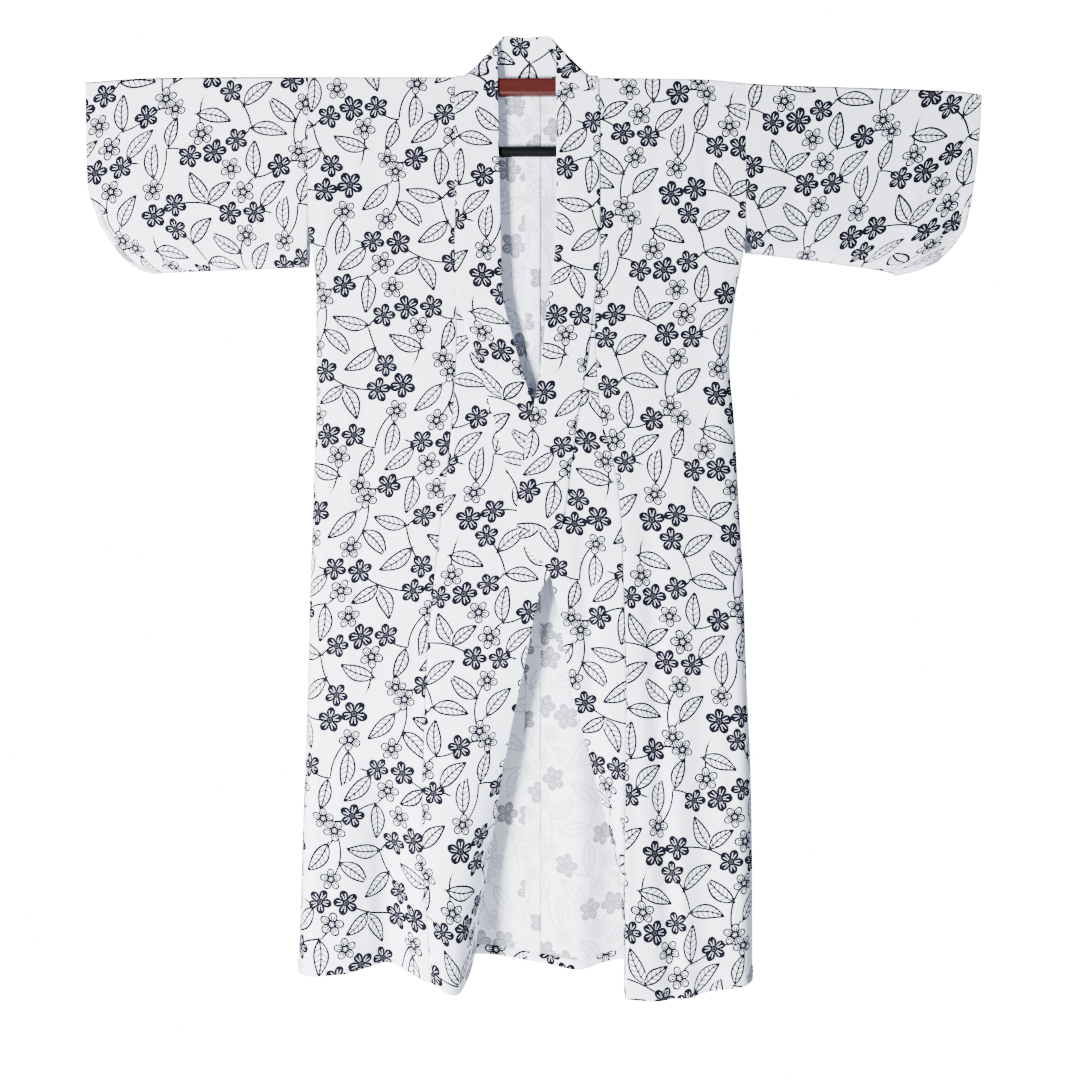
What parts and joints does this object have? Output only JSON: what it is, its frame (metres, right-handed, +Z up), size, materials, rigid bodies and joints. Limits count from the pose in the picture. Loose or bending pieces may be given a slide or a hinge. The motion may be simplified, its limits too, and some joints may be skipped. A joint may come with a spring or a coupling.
{
  "type": "cotton yukata robe on a kimono hanger bar",
  "caption": "Light cotton yukata robe with a flower and leaf print, hanging flat on a wooden kimono hanger bar, its lapped fronts falling open at the hem.",
  "frame": {"origin": "middle of the hanger bar's top face, between the collar's two sides, where the hanger is held up", "axes": "+Z up along the hanging robe, +X along the bar to the wearer's left, and the robe's front faces -Y"},
  "size_m": [1.3203, 0.1127, 1.4089],
  "materials": {
    "cotton_print": "plain woven white cotton, dyed with dark flowers and leaves, matte",
    "bar_wood": "red-brown stained wood, satin",
    "rod_black": "black paint, satin"
  },
  "bodies": {
    "root": {"front_right": "cotton_print", "okumi_right": "cotton_print", "back_right": "cotton_print", "sleeve_right": "cotton_print", "front_left": "cotton_print", "okumi_left": "cotton_print", "back_left": "cotton_print", "sleeve_left": "cotton_print", "collar_band": "cotton_print", "hanger_bar": "bar_wood", "hanger_rod": "rod_black", "rod_strap_right": "rod_black", "rod_strap_left": "rod_black"}
  },
  "joints": []
}
